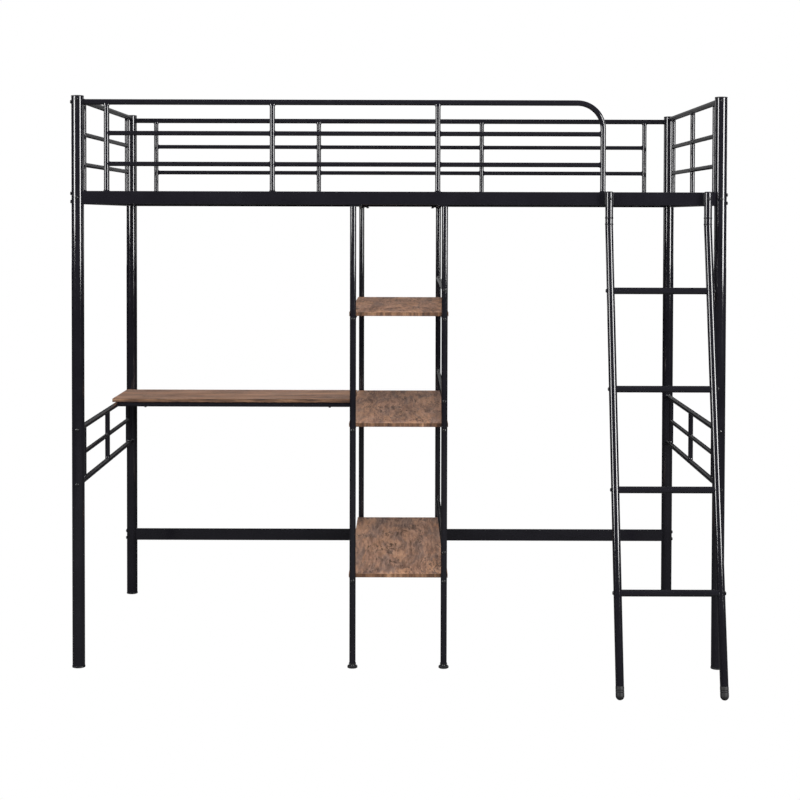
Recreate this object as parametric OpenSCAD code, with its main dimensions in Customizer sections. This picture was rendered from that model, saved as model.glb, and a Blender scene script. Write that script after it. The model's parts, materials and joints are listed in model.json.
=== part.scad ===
// Loft bed with a desk, a centre shelf unit and a ladder.
// Length runs along X, the front with the ladder faces -Y, and the floor is z = 0.

/* [Bed frame] */
// Distance between the centres of the left and right posts
post_span = 1947; // [1900:1:2050]
// Distance between the centres of the front and rear posts
post_depth = 1010; // [950:1:1100]
// Overall height, to the top of the post caps
bed_height = 1740; // [1700:1:1800]
// Outer diameter of the posts
post_d = 38; // [34:1:42]
// Height of the top edge of the side rails
rail_top = 1451; // [1400:1:1460]
// Height of a side rail's section
rail_h = 40; // [36:1:50]
// Thickness of a side rail's section
rail_w = 20; // [16:1:25]
// Number of slats under the mattress
slat_count = 14; // [10:1:18]

/* [Guard rails] */
// Diameter of the guards' top tubes and of the lower end bars
top_tube_d = 17; // [16:0.5:19]
// Diameter of the upright tubes
upright_d = 16; // [14:0.5:16]
// Diameter of the horizontal filler bars
filler_d = 14; // [12:0.5:14]
// Height of the front and rear guards' top tube centre
guard_top_z = 1720; // [1700:1:1722]
// Height of the lower filler bar
filler_low = 1533; // [1500:1:1560]
// Height of the upper filler bar
filler_high = 1626; // [1600:1:1660]
// Centreline radius of the front guard's bend
bend_r = 78; // [60:1:85]

/* [Shelves and desk] */
// Half the distance between the shelf posts' centres
shelf_half = 139; // [125:1:160]
// Diameter of the shelf posts
shelf_post_d = 19; // [18:0.5:22]
// Diameter of the bars that carry the shelves
shelf_bar_d = 16; // [14:0.5:16]
// Height of the bottom shelf's surface
shelf_low = 286; // [250:1:320]
// Height of the desk, and of the middle shelf beside it
desk_height = 747; // [730:1:760]
// Height of the top shelf's surface
shelf_high = 1085; // [1050:1:1120]
// Thickness of the boards
board_t = 12; // [12:1:15]
// Depth of the desk board
desk_depth = 310; // [280:1:400]

/* [Ladder] */
// Place of the ladder's left leg along X
ladder_left = 634; // [600:1:640]
// Distance between the centres of the ladder's legs
ladder_width = 298; // [280:1:300]
// Diameter of a ladder leg
leg_d = 24; // [22:1:25]
// How far a foot's centre stands in front of the front posts
ladder_reach = 342; // [300:1:380]
// Height of the lowest rung
rung_low = 292; // [270:1:300]
// Rise from one rung to the next
rung_step = 287.7; // [280:0.1:290]
// Number of rungs
rung_count = 4; // [3:1:4]
// Diameter of a rung
rung_d = 20; // [18:1:20]

/* [Hidden] */
$fn = 64;

// Tube walls, and the gap left where one welded or seated piece meets another
wall = 1.2;
post_wall = 1.5;
fit = 0.05;
// Height that a cutting cylinder passes beyond what it cuts
over = 60;

// Fasteners: M6 button-head bolts and 4 mm wood screws
bolt_d = 6;
head_d = 11;
head_h = 3.2;
hole_d = 6.6;
socket_af = 4;
socket_depth = 2;
insert_len = 22;
rail_insert_len = 14;
insert_inset = 4;
screw_d = 4;
screw_head_d = 8;
screw_head_h = 2.5;
screw_hole_d = 4.4;
screw_bite = 9;
post_bolt_bite = 14;
tube_bolt_bite = 12;
sheet_bolt_bite = 10;

// Main places. The front posts' row is set so that the whole bed, ladder
// feet included, is centred on Y = 0.
post_r = post_d / 2;
foot_r = 12.5;
front_reach = ladder_reach + foot_r;
rear_reach = post_r + fit + head_h;
total_depth = front_reach + post_depth + rear_reach;
front_y = front_reach - total_depth / 2;
rear_y = front_y + post_depth;
mid_y = (front_y + rear_y) / 2;
end_x = post_span / 2;
rail_z = rail_top - rail_h / 2;
rail_bolt_gap = 25;
stretcher_z = 217;
end_guard_rise = 8;
end_guard_top_z = guard_top_z + end_guard_rise;

// Post caps
cap_over = 0.5;
top_cap_t = 3.4;
foot_cap_t = 5;
foot_cap_over = 1;
plug_len = 18;
plug_wall = 5;
cap_round = 1.5;

// Slats and the angle ledges that carry them
ledge_t = 2;
ledge_w = 20;
ledge_end_gap = 30;
slat_h = 20;
slat_w = 30;
slat_drop = 8;
slat_span = 1800;
slat_top = rail_top - slat_drop;
slat_end_gap = 1;

// Guard uprights and filler bars
filler_z = [filler_low, filler_high];
front_upright_x = [-886, -384, 117];
bend_x = 617;
rear_upright_x = [-884, -295, 295, 884];
guard_upright_inset = 100;
lower_upright_inset = 90;
guard_upright_y = [front_y + guard_upright_inset, mid_y, rear_y - guard_upright_inset];
lower_upright_y = [front_y + lower_upright_inset, mid_y, rear_y - lower_upright_inset];

// Lower end panels: the top bar carries the desk's left edge
board_under = desk_height - board_t;
lower_top_z = board_under - fit - top_tube_d / 2;
lower_mid_z = 645;
lower_bottom_z = 560;

// Shelf unit
shelf_z = [shelf_low, desk_height, shelf_high];
board_half = 151;
board_gap = 1;
board_rear_gap = 30;
board_front_y = front_y + shelf_post_d / 2 + board_gap;
board_rear_y = rear_y - board_rear_gap;
side_bar_rise = 68;
tab_t = 2.5;
tab_w = 20;
tab_len = 34;
tab_bolt_x = 22;
board_tab_len = 24;
board_tab_tuck = 5;
board_tab_front = 70;
board_tab_rear = 110;
board_tab_y = [front_y + board_tab_front, rear_y - board_tab_rear];
tab_screw_x = 16;

// Desk
desk_overhang = 14.5;
desk_side_gap = 1.5;
desk_left = -end_x - desk_overhang;
desk_right = -board_half - desk_side_gap;
desk_rear_y = rear_y - post_r - board_gap;
desk_front_y = desk_rear_y - desk_depth;
desk_bar_d = 16;
desk_bar_front = 9;
desk_bar_rear = 24;
desk_bar_y = [desk_front_y + desk_bar_front, desk_rear_y - desk_bar_rear];
desk_screw_x = [-875, -240];
desk_bar_z = board_under - fit - desk_bar_d / 2;

// Levelling feet under the front shelf posts
pad_d = 31;
pad_h = 8;
pad_round = 2.5;
boss_d = 15;
boss_top = 11;
ball_r = 4;
ball_z = 8.2;
ball_gap = 0.06;
neck_r = 2.4;
neck_gap = 0.4;
stem_r = 4;
stem_neck_top = 13;
stem_top = 52;
foot_flange_d = 22;
foot_flange_z = 12;
foot_flange_t = 3;
shelf_foot_z = foot_flange_z + foot_flange_t;
foot_plug_top = 40;
stem_gap = 0.08;

// Ladder: a leg leans back to the joint under its hook
ladder_x = [ladder_left, ladder_left + ladder_width];
rung_z = [for (i = [0 : rung_count - 1]) rung_low + i * rung_step];
hook_y = front_y - rail_w / 2 - fit - leg_d / 2;
hook_low_z = 1352;
hook_rise = 2;
hook_top_z = rail_top + hook_rise;
hook_cap_t = 3;
spigot_d = 20.8;
spigot_len = 34;
shoulder_t = 3;
shoulder_step = 1;
ring_d = 26;
ring_h = 4;
ring_step = 19;
foot_y = front_y - ladder_reach;
lean = atan((hook_y - foot_y) / (hook_low_z - foot_r));
leg_len = (hook_low_z - foot_r) / cos(lean);
foot_sleeve_len = 26;
leg_start = 6;
rung_inset = 4;

steel = [0.11, 0.11, 0.12];
bright = [0.62, 0.62, 0.62];
plastic = [0.05, 0.05, 0.05];
wood = [0.46, 0.33, 0.26];

// The point of a ladder leg's axis at height z, as its Y
function leg_y(z) = foot_y + (z - foot_r) * tan(lean);

// ---------- building blocks ----------

module along_x() {
    rotate([0, 90, 0]) children();
}

module along_y() {
    rotate([-90, 0, 0]) children();
}

module tube(d, length, thick = wall) {
    difference() {
        cylinder(d = d, h = length);
        translate([0, 0, -1]) cylinder(d = d - 2 * thick, h = length + 2);
    }
}

module tube_x(d, x0, x1, y, z) {
    translate([x0, y, z]) along_x() tube(d, x1 - x0);
}

module tube_y(d, y0, y1, x, z) {
    translate([x, y0, z]) along_y() tube(d, y1 - y0);
}

module tube_z(d, z0, z1, x, y) {
    translate([x, y, z0]) tube(d, z1 - z0);
}

// Clearance cutters that cope a tube's end to the piece it meets
module cope_x(d, y, z) {
    translate([-end_x - over, y, z]) along_x() cylinder(d = d + 2 * fit, h = post_span + 2 * over);
}

module cope_y(d, x, z) {
    translate([x, front_y - over, z]) along_y() cylinder(d = d + 2 * fit, h = post_depth + 2 * over);
}

module cope_z(d, x, y) {
    translate([x, y, -over]) cylinder(d = d + 2 * fit, h = bed_height + 2 * over);
}

module cope_posts() {
    for (x = [-end_x, end_x], y = [front_y, rear_y]) cope_z(post_d, x, y);
}

// Rectangular tube centred on its line; w is across, h is up
module box_tube_x(x0, x1, y, z, w, h) {
    translate([x0, y - w / 2, z - h / 2]) difference() {
        cube([x1 - x0, w, h]);
        translate([-1, wall, wall]) cube([x1 - x0 + 2, w - 2 * wall, h - 2 * wall]);
    }
}

module box_tube_y(y0, y1, x, z, w, h) {
    translate([x - w / 2, y0, z - h / 2]) difference() {
        cube([w, y1 - y0, h]);
        translate([wall, -1, wall]) cube([w - 2 * wall, y1 - y0 + 2, h - 2 * wall]);
    }
}

// Button-head bolt: the head's underside is at z = 0 and the shank runs up +Z
module bolt(length, d = bolt_d, head = head_d, height = head_h) {
    edge = height * 0.35;
    difference() {
        union() {
            cylinder(d = d, h = length);
            translate([0, 0, -height]) rotate_extrude() polygon([
                [0, 0], [head * 0.28, 0], [head * 0.42, height * 0.25],
                [head / 2, height - edge], [head / 2, height], [0, height]
            ]);
        }
        translate([0, 0, -height - 1]) cylinder(d = socket_af, h = socket_depth + 1, $fn = 6);
    }
}

module end_insert(d) {
    difference() {
        cylinder(d = d - 2 * wall - 2 * fit, h = insert_len);
        translate([0, 0, -1]) cylinder(d = bolt_d + 2 * fit, h = insert_len + 2);
    }
}

// ---------- posts ----------

// Bolt holes of one post; guard and stretcher say which tubes along X it carries
module post_holes(guard, stretcher) {
    x_holes = concat(
        [rail_z - rail_bolt_gap / 2, rail_z + rail_bolt_gap / 2],
        guard ? [guard_top_z] : [],
        stretcher ? [stretcher_z - rail_bolt_gap / 2, stretcher_z + rail_bolt_gap / 2] : []
    );
    for (z = x_holes)
        translate([-post_d, 0, z]) along_x() cylinder(d = hole_d, h = 2 * post_d);
    for (z = [rail_z, end_guard_top_z, lower_top_z, lower_bottom_z])
        translate([0, -post_d, z]) along_y() cylinder(d = hole_d, h = 2 * post_d);
}

module post(x, y, guard, stretcher) {
    color(steel) translate([x, y, 0]) difference() {
        translate([0, 0, foot_cap_t + fit])
            tube(post_d, bed_height - top_cap_t - foot_cap_t - 2 * fit, post_wall);
        post_holes(guard, stretcher);
    }
}

// Cap with its show face at z = 0 and its plug running up +Z into the post
module post_cap(radius, thick, plug) {
    rotate_extrude() polygon([
        [0, 0], [radius - cap_round, 0], [radius, cap_round], [radius, thick], [0, thick]
    ]);
    translate([0, 0, thick - fit]) difference() {
        cylinder(r = post_r - post_wall - 2 * fit, h = plug);
        translate([0, 0, fit]) cylinder(r = post_r - plug_wall, h = plug);
    }
}

// The top plug stops above the highest bolt
module post_top_caps() {
    short_plug = bed_height - top_cap_t - end_guard_top_z - bolt_d / 2 - 1;
    color(plastic) for (x = [-end_x, end_x], y = [front_y, rear_y])
        translate([x, y, bed_height]) mirror([0, 0, 1])
            post_cap(post_r + cap_over, top_cap_t, short_plug);
}

module post_foot_caps() {
    color(plastic) for (x = [-end_x, end_x], y = [front_y, rear_y])
        translate([x, y, 0]) post_cap(post_r + foot_cap_over, foot_cap_t, plug_len);
}

// ---------- mattress frame ----------

module side_rail_holes(y) {
    side = y < mid_y ? -1 : 1;
    for (x = [-shelf_half + tab_bolt_x, shelf_half - tab_bolt_x])
        translate([x, y, rail_top - rail_h - 1]) cylinder(d = hole_d, h = wall + 2);
    if (side < 0) for (x = ladder_x)
        translate([x, y - rail_w / 2 - 1, rail_z]) along_y() cylinder(d = hole_d, h = wall + 2);
}

module side_rail(y) {
    color(steel) difference() {
        box_tube_x(-end_x, end_x, y, rail_z, rail_w, rail_h);
        cope_posts();
        side_rail_holes(y);
    }
}

module end_rail(x) {
    color(steel) difference() {
        box_tube_y(front_y, rear_y, x, rail_z, rail_w, rail_h);
        cope_posts();
    }
}

module rear_stretcher() {
    color(steel) difference() {
        box_tube_x(-end_x, end_x, rear_y, stretcher_z, rail_w, rail_h);
        cope_posts();
        for (x = [-shelf_half + tab_bolt_x, shelf_half - tab_bolt_x])
            translate([x, rear_y, stretcher_z + rail_h / 2 - wall - 1])
                cylinder(d = hole_d, h = wall + 2);
    }
}

// Threaded blocks pressed into the ends of the rails; holes lists their Z offsets
module rail_insert(holes) {
    block = [rail_insert_len, rail_w - 2 * wall - 2 * fit, rail_h - 2 * wall - 2 * fit];
    difference() {
        translate([0, -block.y / 2, -block.z / 2]) cube(block);
        for (z = holes) translate([-1, 0, z]) along_x()
            cylinder(d = bolt_d + 2 * fit, h = rail_insert_len + 2);
    }
}

module rail_end_inserts() {
    pair = [-rail_bolt_gap / 2, rail_bolt_gap / 2];
    reach = post_r + insert_inset;
    color(bright) {
        for (row = [[front_y, rail_z], [rear_y, rail_z], [rear_y, stretcher_z]]) {
            translate([-end_x + reach, row[0], row[1]]) rail_insert(pair);
            translate([end_x - reach, row[0], row[1]]) mirror([1, 0, 0]) rail_insert(pair);
        }
        for (x = [-end_x, end_x]) {
            translate([x, front_y + reach, rail_z]) rotate([0, 0, 90]) rail_insert([0]);
            translate([x, rear_y - reach, rail_z]) rotate([0, 0, -90]) rail_insert([0]);
        }
    }
}

module slat_ledges() {
    length = post_span - 2 * post_r - 2 * ledge_end_gap;
    flat_z = slat_top - slat_h - ledge_t;
    color(steel) for (side = [1, -1])
        translate([0, side > 0 ? front_y : rear_y, 0]) mirror([0, side > 0 ? 0 : 1, 0])
            translate([-length / 2, rail_w / 2 + fit, flat_z]) {
                cube([length, ledge_w + ledge_t, ledge_t]);
                cube([length, ledge_t, slat_h]);
            }
}

module slats() {
    seat = rail_w / 2 + ledge_t + slat_end_gap;
    color(steel) for (i = [0 : slat_count - 1])
        translate([-slat_span / 2 + i * slat_span / (slat_count - 1), 0, 0])
            box_tube_y(front_y + seat, rear_y - seat, 0, slat_top - slat_h / 2 + fit, slat_w, slat_h);
}

// ---------- guard rails ----------

module front_guard_top_tube() {
    bend_start = bend_x - bend_r;
    color(steel) difference() {
        union() {
            tube_x(top_tube_d, -end_x, bend_start, front_y, guard_top_z);
            translate([bend_start, front_y, guard_top_z - bend_r]) rotate([90, 0, 0])
                rotate_extrude(angle = 90) translate([bend_r, 0]) difference() {
                    circle(d = top_tube_d);
                    circle(d = top_tube_d - 2 * wall);
                }
            tube_z(top_tube_d, rail_top + fit, guard_top_z - bend_r, bend_x, front_y);
        }
        cope_posts();
    }
}

module long_guard_uprights(xs, y) {
    color(steel) for (x = xs) difference() {
        tube_z(upright_d, rail_top + fit, guard_top_z, x, y);
        cope_x(top_tube_d, y, guard_top_z);
    }
}

// Filler bars between neighbouring stations xs, coped to uprights of diameters ds
module long_guard_bars(xs, ds, y) {
    color(steel) for (z = filler_z, i = [0 : len(xs) - 2]) difference() {
        tube_x(filler_d, xs[i], xs[i + 1], y, z);
        cope_z(ds[i], xs[i], y);
        cope_z(ds[i + 1], xs[i + 1], y);
    }
}

module rear_guard_top_tube() {
    color(steel) difference() {
        tube_x(top_tube_d, -end_x, end_x, rear_y, guard_top_z);
        cope_posts();
    }
}

module end_bar(x, z) {
    color(steel) difference() {
        tube_y(top_tube_d, front_y, rear_y, x, z);
        cope_posts();
    }
}

module end_guard_uprights(x) {
    color(steel) for (y = guard_upright_y) difference() {
        tube_z(upright_d, rail_top + fit, end_guard_top_z, x, y);
        cope_y(top_tube_d, x, end_guard_top_z);
    }
}

module end_fillers(x, ys, zs) {
    color(steel) for (z = zs, i = [0 : len(ys) - 2]) difference() {
        tube_y(filler_d, ys[i], ys[i + 1], x, z);
        cope_z(upright_d, x, ys[i]);
        cope_z(upright_d, x, ys[i + 1]);
    }
}

module lower_end_uprights(x) {
    color(steel) for (y = lower_upright_y) difference() {
        tube_z(upright_d, lower_bottom_z, lower_top_z, x, y);
        cope_y(top_tube_d, x, lower_top_z);
        cope_y(top_tube_d, x, lower_bottom_z);
    }
}

// ---------- shelf unit ----------

// Holes for the bolts of the bars that meet one shelf post; zs are their heights
module shelf_post_holes(zs) {
    for (z = zs) translate([0, -shelf_post_d, z]) along_y() cylinder(d = hole_d, h = 2 * shelf_post_d);
}

support_z = [for (z = shelf_z) z - board_t - fit - shelf_bar_d / 2];
side_bar_z = [for (z = shelf_z) z + side_bar_rise];

// Flat tab that carries a post's end; it points towards the bed's centre
module post_tab(side) {
    difference() {
        translate([side > 0 ? -tab_len + shelf_post_d / 2 : -shelf_post_d / 2, -tab_w / 2, 0])
            cube([tab_len, tab_w, tab_t]);
        translate([-side * tab_bolt_x, 0, -1]) cylinder(d = hole_d, h = tab_t + 2);
    }
}

module shelf_post(side, y, low_z, low_tab) {
    top_z = rail_top - rail_h - fit;
    holes = side > 0 ? concat(support_z, side_bar_z) : support_z;
    color(steel) translate([side * shelf_half, y, 0]) difference() {
        union() {
            translate([0, 0, low_z]) tube(shelf_post_d, top_z - tab_t - low_z);
            translate([0, 0, top_z - tab_t]) post_tab(side);
            if (low_tab) translate([0, 0, low_z - tab_t]) post_tab(side);
        }
        shelf_post_holes(holes);
    }
}

module shelf_post_rear(side) {
    shelf_post(side, rear_y, stretcher_z + rail_h / 2 + fit + tab_t, true);
}

module shelf_foot_inserts() {
    color(plastic) for (x = [-shelf_half, shelf_half]) translate([x, front_y, 0]) difference() {
        union() {
            translate([0, 0, foot_flange_z]) cylinder(d = foot_flange_d, h = foot_flange_t - fit);
            cylinder(r = shelf_post_d / 2 - wall - fit, h = foot_plug_top);
        }
        translate([0, 0, -1]) cylinder(r = stem_r + stem_gap, h = foot_plug_top + 2);
        translate([0, 0, -1]) cylinder(d = foot_flange_d + 2, h = foot_flange_z + 1);
    }
}

module shelf_bar(side, z) {
    color(steel) difference() {
        tube_y(shelf_bar_d, front_y, rear_y, side * shelf_half, z);
        cope_z(shelf_post_d, side * shelf_half, front_y);
        cope_z(shelf_post_d, side * shelf_half, rear_y);
    }
}

module shelf_support_bars() {
    for (side = [-1, 1], z = support_z) shelf_bar(side, z);
}

module shelf_side_bars() {
    for (z = side_bar_z) shelf_bar(1, z);
}

module shelf_tabs() {
    reach = shelf_half - shelf_bar_d / 2;
    color(steel) for (side = [-1, 1], z = shelf_z, y = board_tab_y)
        translate([side * reach, y, z - board_t - fit - ledge_t]) mirror([side > 0 ? 0 : 1, 0, 0]) difference() {
            translate([-board_tab_len, -tab_w / 2, 0]) cube([board_tab_len + board_tab_tuck, tab_w, ledge_t]);
            translate([-tab_screw_x, 0, -1]) cylinder(d = screw_hole_d, h = ledge_t + 2);
            translate([shelf_bar_d / 2, 0, ledge_t - shelf_bar_d / 2]) rotate([90, 0, 0])
                translate([0, 0, -tab_w]) cylinder(d = shelf_bar_d + 2 * fit, h = 2 * tab_w);
        }
}

module shelf_board(z) {
    color(wood) difference() {
        translate([-board_half, board_front_y, z - board_t])
            cube([2 * board_half, board_rear_y - board_front_y, board_t]);
        for (side = [-1, 1], y = board_tab_y)
            translate([side * (shelf_half - shelf_bar_d / 2 - tab_screw_x), y, z - board_t - 1])
                cylinder(d = screw_d + 2 * fit, h = screw_bite + 1);
    }
}

// ---------- desk ----------

module desk_top() {
    color(wood) difference() {
        translate([desk_left, desk_front_y, board_under])
            cube([desk_right - desk_left, desk_depth, board_t]);
        for (x = desk_screw_x, y = desk_bar_y) translate([x, y, board_under - 1])
            cylinder(d = screw_d + 2 * fit, h = screw_bite + 1);
    }
}

module desk_bars() {
    color(steel) for (y = desk_bar_y) difference() {
        tube_x(desk_bar_d, -end_x, -shelf_half, y, desk_bar_z);
        cope_y(top_tube_d, -end_x, lower_top_z);
        cope_y(shelf_bar_d, -shelf_half, support_z[1]);
        for (x = desk_screw_x) translate([x, y, desk_bar_z - desk_bar_d])
            cylinder(d = screw_hole_d, h = 2 * desk_bar_d);
    }
}

// ---------- ladder ----------

// Frame of a leg: origin at the foot's ball centre, +Z up along the leg
module on_leg(x) {
    translate([x, foot_y, foot_r]) rotate([-lean, 0, 0]) children();
}

module ladder_leg(x) {
    below = hook_low_z - fit;
    color(steel) difference() {
        union() {
            intersection() {
                on_leg(x) translate([0, 0, leg_start]) tube(leg_d, leg_len + over);
                translate([x - leg_d, foot_y - leg_d, 0])
                    cube([2 * leg_d, ladder_reach + 2 * leg_d, below]);
            }
            tube_z(spigot_d, below - shoulder_t, hook_low_z + spigot_len, x, hook_y);
            translate([x, hook_y, below - shoulder_t]) cylinder(d = leg_d - shoulder_step, h = shoulder_t);
        }
        for (z = rung_z) translate([x - leg_d, leg_y(z), z]) along_x()
            cylinder(d = hole_d, h = 2 * leg_d);
    }
}

module ladder_rungs() {
    color(steel) for (z = rung_z) difference() {
        tube_x(rung_d, ladder_x[0], ladder_x[1], leg_y(z), z);
        for (x = ladder_x) on_leg(x) cylinder(d = leg_d + 2 * fit, h = leg_len);
    }
}

// Upright end of a leg: a closed tube that is bolted flat against the front rail
module ladder_hooks() {
    color(steel) for (x = ladder_x) translate([x, hook_y, hook_low_z]) difference() {
        union() {
            cylinder(d = leg_d, h = hook_top_z - hook_low_z);
            intersection() {
                for (i = [0, 1]) translate([0, 0, i * ring_step]) cylinder(d = ring_d, h = ring_h);
                translate([-ring_d, -ring_d, -1]) cube([2 * ring_d, ring_d + leg_d / 2, spigot_len]);
            }
        }
        translate([0, 0, -1])
            cylinder(d = spigot_d + 2 * fit, h = hook_top_z - hook_low_z - hook_cap_t + 1);
        translate([0, -leg_d, rail_z - hook_low_z]) along_y() cylinder(d = hole_d, h = 2 * leg_d);
    }
}

module ladder_feet() {
    color(plastic) for (x = ladder_x) on_leg(x) difference() {
        union() {
            sphere(r = foot_r);
            cylinder(r = foot_r, h = foot_sleeve_len);
        }
        translate([0, 0, leg_start - fit]) cylinder(d = leg_d + 2 * fit, h = foot_sleeve_len);
    }
}

// ---------- levelling feet ----------

module foot_stem(x) {
    color(bright) translate([x, front_y, 0]) {
        translate([0, 0, ball_z]) sphere(r = ball_r);
        translate([0, 0, ball_z]) cylinder(r = neck_r, h = stem_neck_top - ball_z);
        translate([0, 0, stem_neck_top]) cylinder(r = stem_r, h = stem_top - stem_neck_top);
    }
}

module foot_pad(x) {
    color(plastic) translate([x, front_y, 0]) difference() {
        rotate_extrude() {
            polygon([
                [0, 0], [pad_d / 2 - pad_round / 2, 0], [pad_d / 2, pad_round / 2],
                [pad_d / 2, pad_h - pad_round], [pad_d / 2 - pad_round, pad_h],
                [boss_d / 2, pad_h], [boss_d / 2 - 1, boss_top], [0, boss_top]
            ]);
        }
        translate([0, 0, ball_z]) sphere(r = ball_r + ball_gap);
        translate([0, 0, ball_z]) cylinder(r = neck_r + neck_gap, h = boss_top);
    }
}

// ---------- fasteners ----------

// Bolt through a post's centre along +X or +Y from its outer face
module bolt_x(x, y, z, side, radius, length) {
    translate([x + side * (radius + fit), y, z]) rotate([0, -side * 90, 0]) bolt(length);
}

module bolt_y(x, y, z, side, radius, length) {
    translate([x, y + side * (radius + fit), z]) rotate([side * 90, 0, 0]) bolt(length);
}

post_bolt_len = post_d + insert_inset + post_bolt_bite;
shelf_bolt_len = shelf_post_d + insert_inset + tube_bolt_bite;
rung_bolt_len = leg_d + rung_inset + tube_bolt_bite;
hook_bolt_len = leg_d + sheet_bolt_bite;

module frame_bolts() {
    color(steel) {
        for (side = [-1, 1], dz = [-rail_bolt_gap / 2, rail_bolt_gap / 2],
             row = [[front_y, rail_z], [rear_y, rail_z], [rear_y, stretcher_z]])
            bolt_x(side * end_x, row[0], row[1] + dz, side, post_r, post_bolt_len);
        for (x = [-end_x, end_x]) {
            bolt_y(x, front_y, rail_z, -1, post_r, post_bolt_len);
            bolt_y(x, rear_y, rail_z, 1, post_r, post_bolt_len);
        }
    }
}

module panel_bolts() {
    color(steel) {
        bolt_x(-end_x, front_y, guard_top_z, -1, post_r, post_bolt_len);
        for (side = [-1, 1]) bolt_x(side * end_x, rear_y, guard_top_z, side, post_r, post_bolt_len);
        for (x = [-end_x, end_x], z = [end_guard_top_z, lower_top_z, lower_bottom_z]) {
            bolt_y(x, front_y, z, -1, post_r, post_bolt_len);
            bolt_y(x, rear_y, z, 1, post_r, post_bolt_len);
        }
    }
}

module shelf_bolts() {
    tab_bolt_len = tab_t + wall + sheet_bolt_bite;
    color(steel) for (side = [-1, 1]) {
        for (z = side > 0 ? concat(support_z, side_bar_z) : support_z) {
            bolt_y(side * shelf_half, front_y, z, -1, shelf_post_d / 2, shelf_bolt_len);
            bolt_y(side * shelf_half, rear_y, z, 1, shelf_post_d / 2, shelf_bolt_len);
        }
        for (y = [front_y, rear_y])
            translate([side * (shelf_half - tab_bolt_x), y, rail_top - rail_h - tab_t - 2 * fit])
                bolt(tab_bolt_len);
        translate([side * (shelf_half - tab_bolt_x), rear_y, stretcher_z + rail_h / 2 + tab_t + 2 * fit])
            mirror([0, 0, 1]) bolt(tab_bolt_len);
    }
}

module ladder_bolts() {
    color(steel) {
        for (z = rung_z) {
            bolt_x(ladder_x[0], leg_y(z), z, -1, leg_d / 2, rung_bolt_len);
            bolt_x(ladder_x[1], leg_y(z), z, 1, leg_d / 2, rung_bolt_len);
        }
        for (x = ladder_x) bolt_y(x, hook_y, rail_z, -1, leg_d / 2, hook_bolt_len);
    }
}

module board_screws() {
    color(steel) {
        for (side = [-1, 1], z = shelf_z, y = board_tab_y)
            translate([side * (shelf_half - shelf_bar_d / 2 - tab_screw_x), y,
                       z - board_t - ledge_t - 2 * fit])
                bolt(ledge_t + screw_bite - 1, screw_d, screw_head_d, screw_head_h);
        for (x = desk_screw_x, y = desk_bar_y)
            translate([x, y, desk_bar_z - desk_bar_d / 2 - fit])
                bolt(desk_bar_d + screw_bite - 1, screw_d, screw_head_d, screw_head_h);
    }
}

module insert_x(x, y, z, dir, d) {
    translate([x, y, z]) rotate([0, dir * 90, 0]) end_insert(d);
}

module insert_y(x, y, z, dir, d) {
    translate([x, y, z]) rotate([-dir * 90, 0, 0]) end_insert(d);
}

module tube_end_inserts() {
    reach = post_r + insert_inset;
    shelf_reach = shelf_post_d / 2 + insert_inset;
    rung_reach = leg_d / 2 + rung_inset;
    color(bright) {
        insert_x(-end_x + reach, front_y, guard_top_z, 1, top_tube_d);
        for (side = [-1, 1])
            insert_x(side * (end_x - reach), rear_y, guard_top_z, -side, top_tube_d);
        for (x = [-end_x, end_x], z = [end_guard_top_z, lower_top_z, lower_bottom_z]) {
            insert_y(x, front_y + reach, z, 1, top_tube_d);
            insert_y(x, rear_y - reach, z, -1, top_tube_d);
        }
        for (side = [-1, 1], z = side > 0 ? concat(support_z, side_bar_z) : support_z) {
            insert_y(side * shelf_half, front_y + shelf_reach, z, 1, shelf_bar_d);
            insert_y(side * shelf_half, rear_y - shelf_reach, z, -1, shelf_bar_d);
        }
        for (z = rung_z) {
            insert_x(ladder_x[0] + rung_reach, leg_y(z), z, 1, rung_d);
            insert_x(ladder_x[1] - rung_reach, leg_y(z), z, -1, rung_d);
        }
    }
}

// ---------- nodes ----------

post(-end_x, front_y, true, false);  // post_front_left
post(end_x, front_y, false, false);  // post_front_right
post(-end_x, rear_y, true, true);  // post_rear_left
post(end_x, rear_y, true, true);  // post_rear_right
post_top_caps();
post_foot_caps();
side_rail(front_y);  // side_rail_front
side_rail(rear_y);  // side_rail_rear
end_rail(-end_x);  // end_rail_left
end_rail(end_x);  // end_rail_right
rear_stretcher();
rail_end_inserts();
slat_ledges();
slats();
front_guard_top_tube();
long_guard_uprights(front_upright_x, front_y);  // front_guard_uprights
long_guard_bars(concat(front_upright_x, [bend_x]),  // front_guard_bars
                    [upright_d, upright_d, upright_d, top_tube_d], front_y);
rear_guard_top_tube();
long_guard_uprights(rear_upright_x, rear_y);  // rear_guard_uprights
long_guard_bars(rear_upright_x, [for (x = rear_upright_x) upright_d], rear_y);  // rear_guard_bars
end_bar(-end_x, end_guard_top_z);  // end_guard_left_top_bar
end_guard_uprights(-end_x);  // end_guard_left_uprights
end_fillers(-end_x, guard_upright_y, filler_z);  // end_guard_left_bars
end_bar(end_x, end_guard_top_z);  // end_guard_right_top_bar
end_guard_uprights(end_x);  // end_guard_right_uprights
end_fillers(end_x, guard_upright_y, filler_z);  // end_guard_right_bars
union() {  // lower_end_left_rails
    end_bar(-end_x, lower_top_z);
    end_bar(-end_x, lower_bottom_z);
}
lower_end_uprights(-end_x);  // lower_end_left_uprights
end_fillers(-end_x, lower_upright_y, [lower_mid_z]);  // lower_end_left_bars
union() {  // lower_end_right_rails
    end_bar(end_x, lower_top_z);
    end_bar(end_x, lower_bottom_z);
}
lower_end_uprights(end_x);  // lower_end_right_uprights
end_fillers(end_x, lower_upright_y, [lower_mid_z]);  // lower_end_right_bars
shelf_post(-1, front_y, shelf_foot_z, false);  // shelf_post_front_left
shelf_post(1, front_y, shelf_foot_z, false);  // shelf_post_front_right
shelf_post_rear(-1);  // shelf_post_rear_left
shelf_post_rear(1);  // shelf_post_rear_right
shelf_foot_inserts();
shelf_support_bars();
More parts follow.
